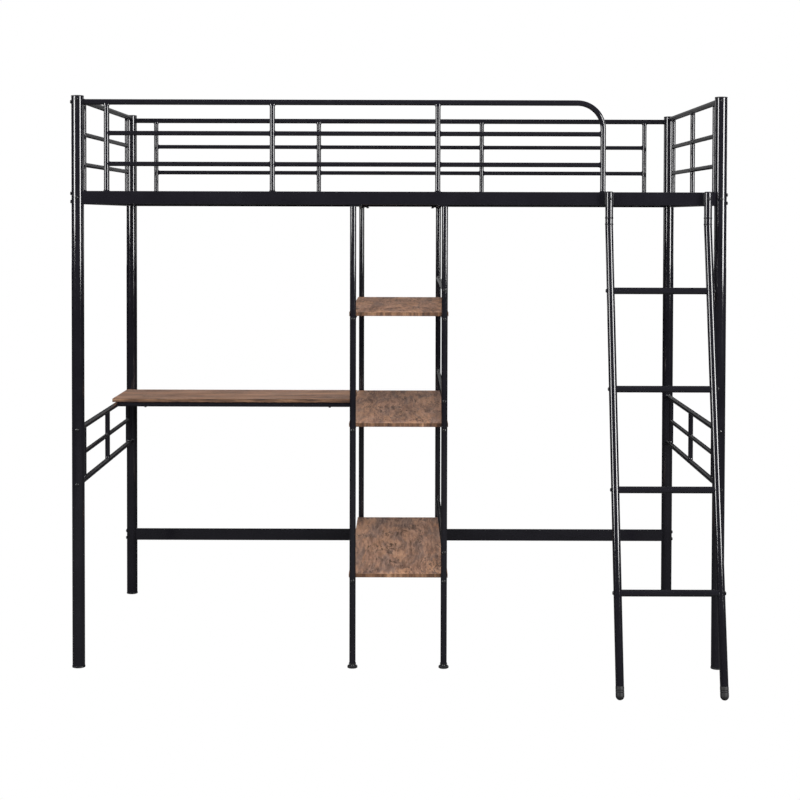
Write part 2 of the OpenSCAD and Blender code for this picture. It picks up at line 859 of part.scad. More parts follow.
shelf_side_bars();
shelf_tabs();
shelf_board(shelf_z[0]);  // shelf_bottom
shelf_board(shelf_z[1]);  // shelf_middle
shelf_board(shelf_z[2]);  // shelf_top
desk_top();
desk_bars();
ladder_leg(ladder_x[0]);  // ladder_leg_left
ladder_leg(ladder_x[1]);  // ladder_leg_right
ladder_rungs();
ladder_hooks();
ladder_feet();
foot_stem(-shelf_half);  // foot_stem_left
foot_stem(shelf_half);  // foot_stem_right
foot_pad(-shelf_half);  // foot_pad_left
foot_pad(shelf_half);  // foot_pad_right
tube_end_inserts();
frame_bolts();
panel_bolts();
shelf_bolts();
ladder_bolts();
board_screws();
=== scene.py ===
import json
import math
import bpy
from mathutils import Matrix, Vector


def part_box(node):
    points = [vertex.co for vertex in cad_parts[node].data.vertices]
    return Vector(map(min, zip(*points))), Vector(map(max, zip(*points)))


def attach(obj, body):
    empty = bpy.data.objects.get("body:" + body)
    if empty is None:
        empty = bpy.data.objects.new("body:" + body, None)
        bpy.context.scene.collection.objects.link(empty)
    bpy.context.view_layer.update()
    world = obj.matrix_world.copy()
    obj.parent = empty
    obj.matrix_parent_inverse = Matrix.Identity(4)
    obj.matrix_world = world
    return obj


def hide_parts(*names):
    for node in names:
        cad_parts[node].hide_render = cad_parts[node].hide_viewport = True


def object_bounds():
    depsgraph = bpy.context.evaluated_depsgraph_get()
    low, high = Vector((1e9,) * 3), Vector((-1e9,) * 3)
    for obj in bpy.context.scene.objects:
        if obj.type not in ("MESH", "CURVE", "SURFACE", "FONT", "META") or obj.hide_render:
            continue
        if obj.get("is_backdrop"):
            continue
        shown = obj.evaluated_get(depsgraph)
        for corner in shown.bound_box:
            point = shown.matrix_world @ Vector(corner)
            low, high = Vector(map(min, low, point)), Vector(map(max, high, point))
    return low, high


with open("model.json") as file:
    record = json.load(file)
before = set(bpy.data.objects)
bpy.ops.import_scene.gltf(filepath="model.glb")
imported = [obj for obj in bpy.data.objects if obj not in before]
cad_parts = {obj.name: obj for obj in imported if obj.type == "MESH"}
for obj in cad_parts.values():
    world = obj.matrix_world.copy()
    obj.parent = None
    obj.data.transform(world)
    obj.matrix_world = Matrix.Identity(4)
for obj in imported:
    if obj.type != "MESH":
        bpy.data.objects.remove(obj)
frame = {"nodes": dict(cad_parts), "record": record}

# %% [markdown]
# # A loft bed with a desk
# The bed arrives as a finished set of tubes, boards, bolts and feet, each one
# already in its place. This lesson puts a camera and lights round it, mixes the
# finishes, and models every part that is seen again, with the rounded edges,
# welds and bolt heads that the real one has.

X, Y, Z = Vector((1, 0, 0)), Vector((0, 1, 0)), Vector((0, 0, 1))
MM = 0.001
nodes = frame["nodes"]
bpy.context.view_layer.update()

# %% [markdown]
# ## Camera
# The bed is seen from the front, about level with the mattress, through a long
# lens that keeps its uprights parallel. The camera looks down by one and a
# half degrees, and the rest of the framing is a lens shift, as with an
# architect's camera, because a stronger tilt would make the posts converge. A
# trace of roll puts it a hair out of level.

# %% Camera
post_low, post_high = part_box("post_front_left")
front_plane = (post_low.y + post_high.y) / 2
sensor_width, lens_length = 36.0, 76.135                # millimetres
shift_aside, shift_down = -0.0069, -0.174               # of the sensor's width
aside, distance, eye_height = 0.0196, 5.1274, 1.3759    # metres
tilt, roll = 88.5, -0.145                               # degrees; a tilt of 90 looks level
camera_data = bpy.data.cameras.new("bed_camera")
camera_data.sensor_width = sensor_width
camera_data.lens = lens_length
camera_data.shift_x = shift_aside
camera_data.shift_y = shift_down
camera = bpy.data.objects.new("bed_camera", camera_data)
bpy.context.scene.collection.objects.link(camera)
camera.location = (aside, front_plane - distance, eye_height)
camera.rotation_euler = (math.radians(tilt), math.radians(roll), 0)
bpy.context.scene.camera = camera
print("camera at", [round(v, 3) for v in camera.location])

# %% [markdown]
# ## Studio
# Gloss black shows nothing but what it mirrors, so the lights are built for the
# tubes. Two tall soft boxes stand to the left and right in front of the bed and
# draw two thin pale lines down every upright. Their lower edges stay above the
# shelves, so the lines fade out down the posts, and they reach high enough for
# the leaning ladder, whose legs mirror what is above. Two weaker strips do the
# same for the back. A dim panel behind the bed glints along the tubes that run
# from front to back. Another light hangs over the bed for the boards, and two
# more fill in the front and the back; these three are hidden from reflections,
# or they would draw a line along every rail as well.

# %% Lights
def soft_box(name, place, aim, size, power, mirrored=True):
    """A rectangular light at place that faces aim; size is (width, height) in metres, power in watts."""
    data = bpy.data.lights.new(name, "AREA")
    data.shape = "RECTANGLE"
    data.size, data.size_y = size
    data.energy = power
    lamp = bpy.data.objects.new(name, data)
    bpy.context.scene.collection.objects.link(lamp)
    lamp.location = place
    lamp.rotation_euler = (Vector(aim) - Vector(place)).to_track_quat("-Z", "Y").to_euler()
    lamp.visible_camera = False
    lamp.visible_glossy = mirrored
    return lamp


strip_out = 2.53     # how far the front strips stand before the front posts
for name, sideways, height, size, power in (
        ("strip_left", -3.67, 2.34, (1.25, 2.12), 190),
        ("strip_right", 3.46, 2.22, (1.25, 2.34), 250)):
    soft_box(name, (sideways, front_plane - strip_out, height), (0, front_plane, height), size, power)
soft_box("back_panel", (0, 3.6, 1.95), (0, 0, 1.5), (2.8, 2.0), 3)
for name, side in (("rear_strip_left", -1), ("rear_strip_right", 1)):
    soft_box(name, (side * 3.4, front_plane + 3.6, 2.2), (0, front_plane + 1, 2.2), (0.9, 2.2), 28)
soft_box("overhead", (0, -1.3, 4.2), (0, 0.1, 0.6), (3.4, 2.4), 88, mirrored=False)
soft_box("rear_fill", (-0.3, 5.8, 2.6), (0, 0, 1.0), (3.6, 2.2), 90, mirrored=False)
soft_box("front_fill", (0.3, -5.6, 3.4), (0, 0, 0.8), (3.6, 2.2), 300, mirrored=False)

# %% [markdown]
# The bed stands on a sheet of white paper in front of a white wall. Seen
# directly, both are plain white. In the dark gloss of the tubes they would
# swamp the two lines, so for every ray that doesn't come straight from the
# camera the room is dim, like a studio with its house lights off. A Light Path
# node tells the two cases apart. The sheet lies lower than the feet by the
# travel of the levelling feet, so that a foot screwed right out stays in sight.

# %% Backdrop and floor
def seen_and_mirrored(tree, seen, mirrored, output):
    """Show one shader straight to the camera, and the other to every other ray."""
    ray = tree.nodes.new("ShaderNodeLightPath")
    pick = tree.nodes.new("ShaderNodeMixShader")
    tree.links.new(ray.outputs["Is Camera Ray"], pick.inputs["Fac"])
    tree.links.new(mirrored.outputs[0], pick.inputs[1])
    tree.links.new(seen.outputs[0], pick.inputs[2])
    tree.links.new(pick.outputs[0], output.inputs["Surface"])


room_glow = 0.012        # strength of the dim room
paper_shade = 0.07       # how much light the sheet throws back on the bed
sheet_size = 80          # metres, so that no edge shows
sheet_gap = 0.6 * MM     # below a foot that is screwed right out
world = bpy.data.worlds.new("studio")
bpy.context.scene.world = world
bpy.context.scene.view_settings.view_transform = "Standard"
world.use_nodes = True
tree = world.node_tree
tree.nodes.clear()
white = tree.nodes.new("ShaderNodeBackground")
white.inputs["Color"].default_value = (1, 1, 1, 1)
dim = tree.nodes.new("ShaderNodeBackground")
dim.inputs["Color"].default_value = (0.9, 0.93, 1, 1)
dim.inputs["Strength"].default_value = room_glow
seen_and_mirrored(tree, white, dim, tree.nodes.new("ShaderNodeOutputWorld"))

bpy.ops.object.select_all(action="DESELECT")
joints = frame["record"]["behaviour"]["joints"]
foot_travel = max(joint["range_m"][1] for joint in joints if joint["type"] == "slide")
bpy.ops.mesh.primitive_plane_add(size=sheet_size, location=(0, 0, -foot_travel - sheet_gap))
floor = bpy.context.object
floor.name = "paper_floor"
paper = bpy.data.materials.new("paper_floor")
paper.use_nodes = True
tree = paper.node_tree
tree.nodes.clear()
matt = tree.nodes.new("ShaderNodeBsdfDiffuse")
matt.inputs["Color"].default_value = (paper_shade, paper_shade, paper_shade, 1)
glow = tree.nodes.new("ShaderNodeEmission")
glow.inputs["Strength"].default_value = 1.0
seen_and_mirrored(tree, glow, matt, tree.nodes.new("ShaderNodeOutputMaterial"))
floor.data.materials.append(paper)
floor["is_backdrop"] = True
print("floor", floor.name, "at z =", round(floor.location.z, 4))

# %% [markdown]
# ## Shader building blocks
# A node group is a reusable box of nodes with named inputs and outputs. The
# ones here only put out colours, masks and heights. The shader itself stays in
# each material, where its own roughness and gloss are set.

# %% Helpers for shader trees
def new_group(name, inputs, outputs):
    """An empty node group with float inputs {name: default}, a Vector input, and outputs {name: type}."""
    group = bpy.data.node_groups.new(name, "ShaderNodeTree")
    group.interface.new_socket("Vector", in_out="INPUT", socket_type="NodeSocketVector")
    for label, default in inputs.items():
        socket = group.interface.new_socket(label, in_out="INPUT", socket_type="NodeSocketFloat")
        socket.default_value = default
    for label, kind in outputs.items():
        group.interface.new_socket(label, in_out="OUTPUT", socket_type="NodeSocket" + kind)
    return group, group.nodes.new("NodeGroupInput"), group.nodes.new("NodeGroupOutput")


def stretched(tree, source, scale, offset=(0, 0, 0)):
    """The source vector, scaled differently along each axis."""
    mapping = tree.nodes.new("ShaderNodeMapping")
    mapping.inputs["Scale"].default_value = scale
    mapping.inputs["Location"].default_value = offset
    tree.links.new(source, mapping.inputs["Vector"])
    return mapping.outputs["Vector"]


def noise(tree, source, scale=1.0, detail=3.0, rough=0.5, warp=0.0):
    """The grey value of a noise texture, 0 to 1."""
    texture = tree.nodes.new("ShaderNodeTexNoise")
    texture.inputs["Scale"].default_value = scale
    texture.inputs["Detail"].default_value = detail
    texture.inputs["Roughness"].default_value = rough
    texture.inputs["Distortion"].default_value = warp
    tree.links.new(source, texture.inputs["Vector"])
    return texture.outputs["Fac"]


def spread(tree, value, low, high, to_low=0.0, to_high=1.0):
    """Maps low..high to to_low..to_high, clamped."""
    node = tree.nodes.new("ShaderNodeMapRange")
    for label, number in (("From Min", low), ("From Max", high), ("To Min", to_low), ("To Max", to_high)):
        node.inputs[label].default_value = number
    tree.links.new(value, node.inputs["Value"])
    return node.outputs["Result"]


def math_node(tree, operation, first, second):
    """One Math node; first and second are sockets or plain numbers."""
    node = tree.nodes.new("ShaderNodeMath")
    node.operation = operation
    for socket, value in zip(node.inputs, (first, second)):
        if isinstance(value, (int, float)):
            socket.default_value = value
        else:
            tree.links.new(value, socket)
    return node.outputs[0]


def blend_colors(tree, factor, first, second, kind="MIX"):
    """A colour Mix node; the colours are sockets or (r, g, b), the factor a socket or a number."""
    node = tree.nodes.new("ShaderNodeMix")
    node.data_type = "RGBA"
    node.blend_type = kind
    sockets = {s.identifier: s for s in node.inputs}
    for label, value in (("Factor_Float", factor), ("A_Color", first), ("B_Color", second)):
        if isinstance(value, (int, float)):
            sockets[label].default_value = value
        elif isinstance(value, tuple):
            sockets[label].default_value = (*value, 1)
        else:
            tree.links.new(value, sockets[label])
    return [s for s in node.outputs if s.identifier == "Result_Color"][0]


def ramp(tree, value, stops):
    """A colour ramp over value; stops are (position, (r, g, b))."""
    node = tree.nodes.new("ShaderNodeValToRGB")
    node.color_ramp.elements[0].position = stops[0][0]
    node.color_ramp.elements[0].color = (*stops[0][1], 1)
    node.color_ramp.elements[1].position = stops[-1][0]
    node.color_ramp.elements[1].color = (*stops[-1][1], 1)
    for position, color in stops[1:-1]:
        node.color_ramp.elements.new(position).color = (*color, 1)
    tree.links.new(value, node.inputs["Fac"])
    return node.outputs["Color"]


print("shader helpers ready")

# %% [markdown]
# ### Coated surface
# Powder coat is sprayed on as dust and baked until it flows, which leaves a
# faint orange peel: soft dimples one to three millimetres across. A little dust
# settles on whatever faces up, and hands leave duller patches. One group makes
# all three, and steel, bolts, plastic and rubber each use it at their own scale.

# %% Group: coated_surface
group, inside, outside = new_group(
    "coated_surface",
    {"Peel Scale": 420.0, "Patch Scale": 9.0},
    {"Height": "Float", "Patches": "Float", "Dust": "Float"})
peel = noise(group, inside.outputs["Vector"], detail=1.5, rough=0.4)
group.links.new(inside.outputs["Peel Scale"], peel.node.inputs["Scale"])
pits = spread(group, noise(group, inside.outputs["Vector"], 1500, 1.0), 0.66, 0.76, 0.0, 0.12)
patches = noise(group, inside.outputs["Vector"], detail=4, rough=0.62, warp=0.6)
group.links.new(inside.outputs["Patch Scale"], patches.node.inputs["Scale"])
geometry = group.nodes.new("ShaderNodeNewGeometry")
facing = group.nodes.new("ShaderNodeSeparateXYZ")
group.links.new(geometry.outputs["Normal"], facing.inputs[0])
upward = spread(group, facing.outputs["Z"], 0.55, 0.98)
speckle = spread(group, noise(group, inside.outputs["Vector"], 130, 5, 0.7), 0.42, 0.68)
group.links.new(math_node(group, "SUBTRACT", peel, pits), outside.inputs["Height"])
group.links.new(spread(group, patches, 0.36, 0.68), outside.inputs["Patches"])
group.links.new(math_node(group, "MULTIPLY", upward, speckle), outside.inputs["Dust"])
coated_surface = group
print("group", group.name, "with outputs", [s.name for s in outside.inputs if s.name])

# %% [markdown]
# ### Rustic board
# The desk and the shelves are particle board under a printed film that copies
# reclaimed oak: brown, with redder and greyer zones, dark streaks and short
# cracks along the grain, a few knots, and fine saw marks across it. The grain
# runs along the group's X axis, and each board turns it its own way.

# %% Group: rustic_grain
group, inside, outside = new_group(
    "rustic_grain", {"Knots": 1.0}, {"Color": "Color", "Gloss": "Float", "Height": "Float"})
here = inside.outputs["Vector"]
bend = noise(group, stretched(group, here, (3.2, 7, 7)), 1, 2)
wavy = group.nodes.new("ShaderNodeVectorMath")
wavy.operation = "MULTIPLY_ADD"
group.links.new(bend, wavy.inputs[0])
wavy.inputs[1].default_value = (0.0, 0.05, 0.05)
group.links.new(here, wavy.inputs[2])
along = wavy.outputs[0]
streaks = noise(group, stretched(group, along, (7, 105, 105)), 1, 7, 0.62, 0.25)
bands = noise(group, stretched(group, along, (2.4, 21, 21), (3, 1, 7)), 1, 4, 0.55, 0.5)
fibre = noise(group, stretched(group, along, (46, 760, 760)), 1, 3, 0.6)
mottle = noise(group, stretched(group, along, (10, 125, 125), (6, 2, 5)), 1, 4, 0.62)
tone = math_node(group, "ADD", math_node(group, "MULTIPLY", streaks, 0.5),
                 math_node(group, "MULTIPLY", bands, 0.5))
brown = ramp(group, tone, [
    (0.36, (0.134, 0.071, 0.049)), (0.44, (0.211, 0.114, 0.076)), (0.50, (0.287, 0.157, 0.102)),
    (0.56, (0.376, 0.206, 0.134)), (0.66, (0.535, 0.302, 0.191))])
blotch = noise(group, stretched(group, here, (4.5, 19, 19), (5, 2, 1)), 1, 6, 0.68, 0.8)
blotch = spread(group, blotch, 0.48, 0.57)
greyed = blend_colors(group, math_node(group, "MULTIPLY", blotch, 0.62), brown, (0.153, 0.108, 0.094))
glow_zone = noise(group, stretched(group, here, (3.5, 22, 22), (9, 4, 2)), 1, 5, 0.62, 0.4)
glow_zone = spread(group, glow_zone, 0.50, 0.58)
warmed = blend_colors(group, math_node(group, "MULTIPLY", glow_zone, 0.6), greyed, (0.488, 0.260, 0.146))
print("tones and zones laid")

# %% [markdown]
# Cracks are where a thin slice of a stretched noise, kept to a few places by a
# second, broader noise, turns nearly black. Knots are the centres of widely
# spaced Voronoi cells. Saw marks are noise squeezed along the grain, so that
# its lines run across the board.

# %% Cracks, knots and saw marks
line_field = noise(group, stretched(group, along, (5.5, 40, 40), (1, 8, 3)), 1, 3, 0.6, 0.9)
from_middle = math_node(group, "ABSOLUTE", math_node(group, "SUBTRACT", line_field, 0.5), 0.0)
crack = spread(group, from_middle, 0.014, 0.034, 1.0, 0.0)
crack_zone = noise(group, stretched(group, here, (7, 17, 17), (2, 6, 4)), 1, 3, 0.6)
crack_zone = spread(group, crack_zone, 0.47, 0.56)
crack = math_node(group, "MULTIPLY", crack, crack_zone)
cells = group.nodes.new("ShaderNodeTexVoronoi")
cells.inputs["Scale"].default_value = 1.0
group.links.new(stretched(group, along, (4.4, 8.5, 8.5), (1, 3, 2)), cells.inputs["Vector"])
chosen = group.nodes.new("ShaderNodeSeparateColor")
group.links.new(cells.outputs["Color"], chosen.inputs[0])
knot = math_node(group, "MULTIPLY", spread(group, cells.outputs["Distance"], 0.05, 0.17, 1.0, 0.0),
                 spread(group, chosen.outputs[0], 0.50, 0.58))
knot = math_node(group, "MULTIPLY", knot, inside.outputs["Knots"])
saw = noise(group, stretched(group, here, (330, 9, 9)), 1, 2, 0.5)
saw_zone = spread(group, noise(group, stretched(group, here, (7, 5, 5), (4, 4, 4)), 1, 2), 0.42, 0.6)
saw_line = math_node(group, "MULTIPLY", spread(group, saw, 0.40, 0.62), saw_zone)
dark = math_node(group, "MAXIMUM", math_node(group, "MULTIPLY", crack, 0.95),
                 math_node(group, "MULTIPLY", knot, 0.62))
marked = blend_colors(group, dark, warmed, (0.034, 0.020, 0.016))
sawn = blend_colors(group, math_node(group, "MULTIPLY", saw_line, 0.16), marked, (0.45, 0.32, 0.25))
shaded = blend_colors(group, spread(group, mottle, 0.38, 0.52, 0.34, 0.0), sawn, (0.070, 0.043, 0.034))
lifted = blend_colors(group, spread(group, mottle, 0.50, 0.64, 0.0, 0.22), shaded, (0.60, 0.40, 0.285))
fibred = blend_colors(group, spread(group, fibre, 0.42, 0.60, 0.30, 0.0), lifted, (0.075, 0.045, 0.034))
group.links.new(fibred, outside.inputs["Color"])
group.links.new(spread(group, tone, 0.35, 0.68, 0.50, 0.36), outside.inputs["Gloss"])
relief = math_node(group, "SUBTRACT", math_node(group, "MULTIPLY", fibre, 0.5), dark)
relief = math_node(group, "ADD", relief, math_node(group, "MULTIPLY", saw_line, 0.4))
group.links.new(relief, outside.inputs["Height"])
rustic_grain = group
print("group", group.name, "has", len(group.nodes), "nodes")

# %% [markdown]
# ## Finishes
# Each material is a Principled shader fed by one of the groups through Object
# coordinates, which are metres in the bed's own frame, so a dimple is the same
# size on a post and on a bolt.

# %% Coated finishes
def start_material(name, **values):
    """A new material; returns it, its tree, its shader and its Object coordinates."""
    material = bpy.data.materials.new(name)
    material.use_nodes = True
    tree = material.node_tree
    shader = tree.nodes["Principled BSDF"]
    for label, value in values.items():
        shader.inputs[label.replace("_", " ")].default_value = value
    place = tree.nodes.new("ShaderNodeTexCoord").outputs["Object"]
    return material, tree, shader, place


def add_bump(tree, shader, height, distance, strength):
    """Let a height, 0 to 1, tilt the shader's surface; distance is its depth in metres."""
    bump = tree.nodes.new("ShaderNodeBump")
    bump.inputs["Distance"].default_value = distance
    bump.inputs["Strength"].default_value = strength
    tree.links.new(height, bump.inputs["Height"])
    tree.links.new(bump.outputs[0], shader.inputs["Normal"])


def coated(name, color, dusty, rough, peel_scale, peel, **values):
    """A dark coat: rough is (clean, handled); peel is the depth of its texture in metres."""
    material, tree, shader, place = start_material(name, **values)
    surface = tree.nodes.new("ShaderNodeGroup")
    surface.node_tree = coated_surface
    surface.inputs["Peel Scale"].default_value = peel_scale
    tree.links.new(place, surface.inputs["Vector"])
    shade = blend_colors(tree, surface.outputs["Patches"], color, tuple(c * 1.25 for c in color))
    tree.links.new(blend_colors(tree, surface.outputs["Dust"], shade, dusty), shader.inputs["Base Color"])
    gloss = spread(tree, surface.outputs["Patches"], 0, 1, *rough)
    dulled = math_node(tree, "ADD", gloss, math_node(tree, "MULTIPLY", surface.outputs["Dust"], 0.12))
    tree.links.new(dulled, shader.inputs["Roughness"])
    add_bump(tree, shader, surface.outputs["Height"], peel, 0.35)
    return material


finishes = {
    "black_steel": coated(
        "black_powder_coat", color=(0.0063, 0.0060, 0.0080), dusty=(0.014, 0.0135, 0.015),
        rough=(0.075, 0.12), peel_scale=210, peel=0.000010),
    "black_bolts": coated(
        "black_oxide_bolts", color=(0.0080, 0.0080, 0.0090), dusty=(0.020, 0.020, 0.021),
        rough=(0.24, 0.36), peel_scale=900, peel=0.00003, Specular_IOR_Level=0.6),
    "black_plastic": coated(
        "black_moulded_plastic", color=(0.0085, 0.0085, 0.0095), dusty=(0.022, 0.022, 0.023),
        rough=(0.34, 0.44), peel_scale=1500, peel=0.00004),
    "black_rubber": coated(
        "black_rubber", color=(0.0090, 0.0090, 0.0095), dusty=(0.030, 0.029, 0.028),
        rough=(0.52, 0.66), peel_scale=1100, peel=0.00006),
    "plain_steel": coated(
        "zinc_plated_steel", color=(0.52, 0.52, 0.54), dusty=(0.42, 0.42, 0.42),
        rough=(0.24, 0.38), peel_scale=700, peel=0.00002, Metallic=1.0),
}
print("coated finishes:", list(finishes))

# %% [markdown]
# The board film lies flat over the faces. The edges carry a separate band,
# whose stripes stand upright on the shelves, as on sawn plank ends, and lie
# lengthwise on the desk. The film mirrors less than plain plastic would, or the
# lights would lay a grey sheen over the brown.

# %% Board finishes
film_gloss = 0.14


def board_face(name, turn, shift):
    """Film for the faces; turn is the angle of the grain from the X axis in degrees."""
    material, tree, shader, place = start_material(name, Specular_IOR_Level=film_gloss)
    mapping = tree.nodes.new("ShaderNodeMapping")
    mapping.inputs["Rotation"].default_value = (0, 0, math.radians(-turn))
    mapping.inputs["Location"].default_value = shift
    tree.links.new(place, mapping.inputs["Vector"])
    grain = tree.nodes.new("ShaderNodeGroup")
    grain.node_tree = rustic_grain
    tree.links.new(mapping.outputs[0], grain.inputs["Vector"])
    tree.links.new(grain.outputs["Color"], shader.inputs["Base Color"])
    tree.links.new(spread(tree, grain.outputs["Gloss"], 0, 1, 0.25, 0.95), shader.inputs["Roughness"])
    add_bump(tree, shader, grain.outputs["Height"], 0.00012, 0.5)
    return material


def board_edge(name, coarse, upright):
    """Edge band in orange-brown and near-black; coarse is the noise scale along the edge, upright up it."""
    material, tree, shader, place = start_material(name)
    stripes = noise(tree, stretched(tree, place, (coarse, coarse, upright)), 1, 5, 0.65)
    fine = noise(tree, stretched(tree, place, (coarse * 7, coarse * 7, upright * 5)), 1, 3, 0.6)
    mixed = math_node(tree, "ADD", math_node(tree, "MULTIPLY", stripes, 0.75),
                      math_node(tree, "MULTIPLY", fine, 0.25))
    color = ramp(tree, mixed, [(0.38, (0.028, 0.013, 0.008)), (0.47, (0.070, 0.034, 0.018)),
                               (0.54, (0.118, 0.060, 0.032)), (0.66, (0.260, 0.148, 0.084))])
    tree.links.new(color, shader.inputs["Base Color"])
    tree.links.new(spread(tree, fine, 0.3, 0.7, 0.55, 0.42), shader.inputs["Roughness"])
    add_bump(tree, shader, fine, 0.0001, 0.4)
    return material


shelf_band = board_edge("shelf_edge_band", coarse=62, upright=2.5)
desk_band = board_edge("desk_edge_band", coarse=9, upright=150)
films = {
    "desk_top": board_face("desk_film", 0, (0.31, 0.12, 0)),
    "shelf_bottom": board_face("bottom_shelf_film", 90, (0.0, 0.35, 0)),
    "shelf_middle": board_face("middle_shelf_film", 90, (1.7, 0.8, 0)),
    "shelf_top": board_face("top_shelf_film", 90, (3.1, 2.2, 0)),
}
print("board films:", list(films))

# %% [markdown]
# ## Modelling helpers
# Every operator acts on what is selected, so each helper selects exactly one
# object first. Almost everything on this bed is round, and a round part can be
# pulled up from a disc as on a lathe: the top face is extruded and resized,
# ring after ring.

# %% Select, measure, turn
def alone(*pieces):
    """Select these objects only; the first one is active."""
    bpy.ops.object.select_all(action="DESELECT")
    for piece in pieces:
        piece.select_set(True)
    bpy.context.view_layer.objects.active = pieces[0]


def solids_of(node_name):
    """The corner points of each separate solid in a CAD node, sorted by place."""
    copy = bpy.data.objects.new("measuring", nodes[node_name].data.copy())
    bpy.context.scene.collection.objects.link(copy)
    alone(copy)
    bpy.ops.object.mode_set(mode="EDIT")
    bpy.ops.mesh.select_all(action="SELECT")
    bpy.ops.mesh.remove_doubles(threshold=0.00001)
    bpy.ops.mesh.separate(type="LOOSE")
    bpy.ops.object.mode_set(mode="OBJECT")
    solids = []
    for part in list(bpy.context.selected_objects):
        solids.append([v.co.copy() for v in part.data.vertices])
        mesh = part.data
        bpy.data.objects.remove(part)
        bpy.data.meshes.remove(mesh)
    return sorted(solids, key=lambda points: tuple(round(v, 3) for v in box_of(points)[0]))


def box_of(points):
    """Lowest and highest corner of some points."""
    low = Vector([min(p[i] for p in points) for i in range(3)])
    high = Vector([max(p[i] for p in points) for i in range(3)])
    return low, high


def boxes_of(node_name):
    """Lowest and highest corner of each solid in a CAD node."""
    return [box_of(points) for points in solids_of(node_name)]


def turned(name, rings, sides=32):
    """A closed round solid up the Z axis; a ring is (height, radius) or (height, X radius, Y radius)."""
    rings = [(ring[0], ring[1], ring[-1]) for ring in rings]
    height, wide, deep = rings[0]
    bpy.ops.object.select_all(action="DESELECT")
    bpy.ops.mesh.primitive_circle_add(vertices=sides, radius=1, fill_type="NGON", location=(0, 0, 0))
    piece = bpy.context.object
    piece.name = name
    bpy.ops.object.mode_set(mode="EDIT")
    bpy.ops.mesh.select_all(action="SELECT")
    bpy.ops.transform.resize(value=(wide, deep, 1))
    bpy.ops.transform.translate(value=(0, 0, height))
    for next_height, next_wide, next_deep in rings[1:]:
        bpy.ops.mesh.extrude_region_move(TRANSFORM_OT_translate={"value": (0, 0, next_height - height)})
        bpy.ops.transform.resize(value=(next_wide / wide, next_deep / deep, 1))
        height, wide, deep = next_height, next_wide, next_deep
    bpy.ops.mesh.select_all(action="SELECT")
    bpy.ops.mesh.normals_make_consistent(inside=False)
    bpy.ops.object.mode_set(mode="OBJECT")
    return piece


def stand(piece, place, up=Z, across=Y):
    """Turn the piece's Z axis to up and its Y axis to across, move it to place, and apply that."""
    up = Vector(up).normalized()
    across = (Vector(across) - Vector(across).dot(up) * up).normalized()
    turn = Matrix((across.cross(up), across, up)).transposed().to_4x4()
    piece.matrix_world = Matrix.Translation(place) @ turn
    alone(piece)
    bpy.ops.object.transform_apply(location=True, rotation=True, scale=True)
    return piece


def copy_of(piece, move=(0, 0, 0)):
    """A copy with its own mesh, moved."""
    twin = bpy.data.objects.new(piece.name, piece.data.copy())
    bpy.context.scene.collection.objects.link(twin)
    twin.data.transform(Matrix.Translation(move))
    return twin


print("helpers ready; the front guard has", len(solids_of("front_guard_uprights")), "uprights")

# %% [markdown]
# A finished piece needs five things said about it: its name, its finish, which
# moving body it rides on, which CAD node it stands for, and the record's
# material slot. Smooth shading is kept to gentle angles, so that a cap's rim
# or a tab's edge stays crisp. Smoothing alone would bend the reflections on a
# long tube towards its narrow rounded end; the Weighted Normal modifier lets
# the large faces decide, and the light lines run straight to the end.

# %% Finish a piece
slot_of = {part["node"]: part["material_slot"] for part in frame["record"]["subparts"]}
bodies = frame["record"]["behaviour"]["bodies"]
body_of = {name: body for body, names in bodies.items() for name in names}
finished = []


def finish(name, pieces, node, angle=35, dressed=False):
    """Join the pieces into one object that stands for a CAD node; dressed says it has its finish."""
    alone(*pieces)
    if len(pieces) > 1:
        bpy.ops.object.join()
    piece = pieces[0]
    piece.name = piece.data.name = name
    if not dressed:
        piece.data.materials.clear()
        piece.data.materials.append(finishes[slot_of[node]])
    bpy.ops.object.shade_smooth_by_angle(angle=math.radians(angle))
    even = piece.modifiers.new("even_shading", "WEIGHTED_NORMAL")
    even.weight = 90
    even.keep_sharp = True
    bpy.ops.object.modifier_apply(modifier=even.name)
    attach(piece, body_of[node])
    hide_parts(node)
    finished.append(piece)
    print(name, "for", node, "-", len(piece.data.polygons), "faces")
    return piece


# %% [markdown]
# ## Posts
# Four steel tubes carry everything. Each is cut square, its rims lightly
# rounded by the coat, so a fine shadow line shows under every cap. A lathe
# shape with a small step at both ends says that with very few faces.

# %% Posts
for node in ("post_front_left", "post_front_right", "post_rear_left", "post_rear_right"):
    low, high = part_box(node)
    radius = (high.x - low.x) / 2
    length = high.z - low.z
    rim = 0.7 * MM
    post = turned("post", [(0, radius - rim), (rim * 0.4, radius - rim * 0.3), (rim * 1.4, radius),
                           (length / 2, radius), (length - rim * 1.4, radius),
                           (length - rim * 0.4, radius - rim * 0.3), (length, radius - rim)], 48)
    stand(post, ((low.x + high.x) / 2, (low.y + high.y) / 2, low.z))
    finish(node.replace("post", "tube_post"), [post], node)

# %% [markdown]
# ## Post caps
# A moulded cap closes each post. The top ones have a soft shoulder and a low
# dome with a shallow dish from the mould; the lower ones are wider than the
# post, with a foot rim and a groove above it. One of each is turned and copied
# to the other three corners.

# %% Post caps
def at_corners(cap, node, up):
    """Copies of a cap on every solid of the node; the cap's show face looks along up."""
    caps = []
    for low, high in boxes_of(node):
        middle = (low + high) / 2
        place = Vector((middle.x, middle.y, high.z if up.z > 0 else low.z))
        caps.append(stand(copy_of(cap), place, up=-up))
    bpy.data.objects.remove(cap)
    return caps


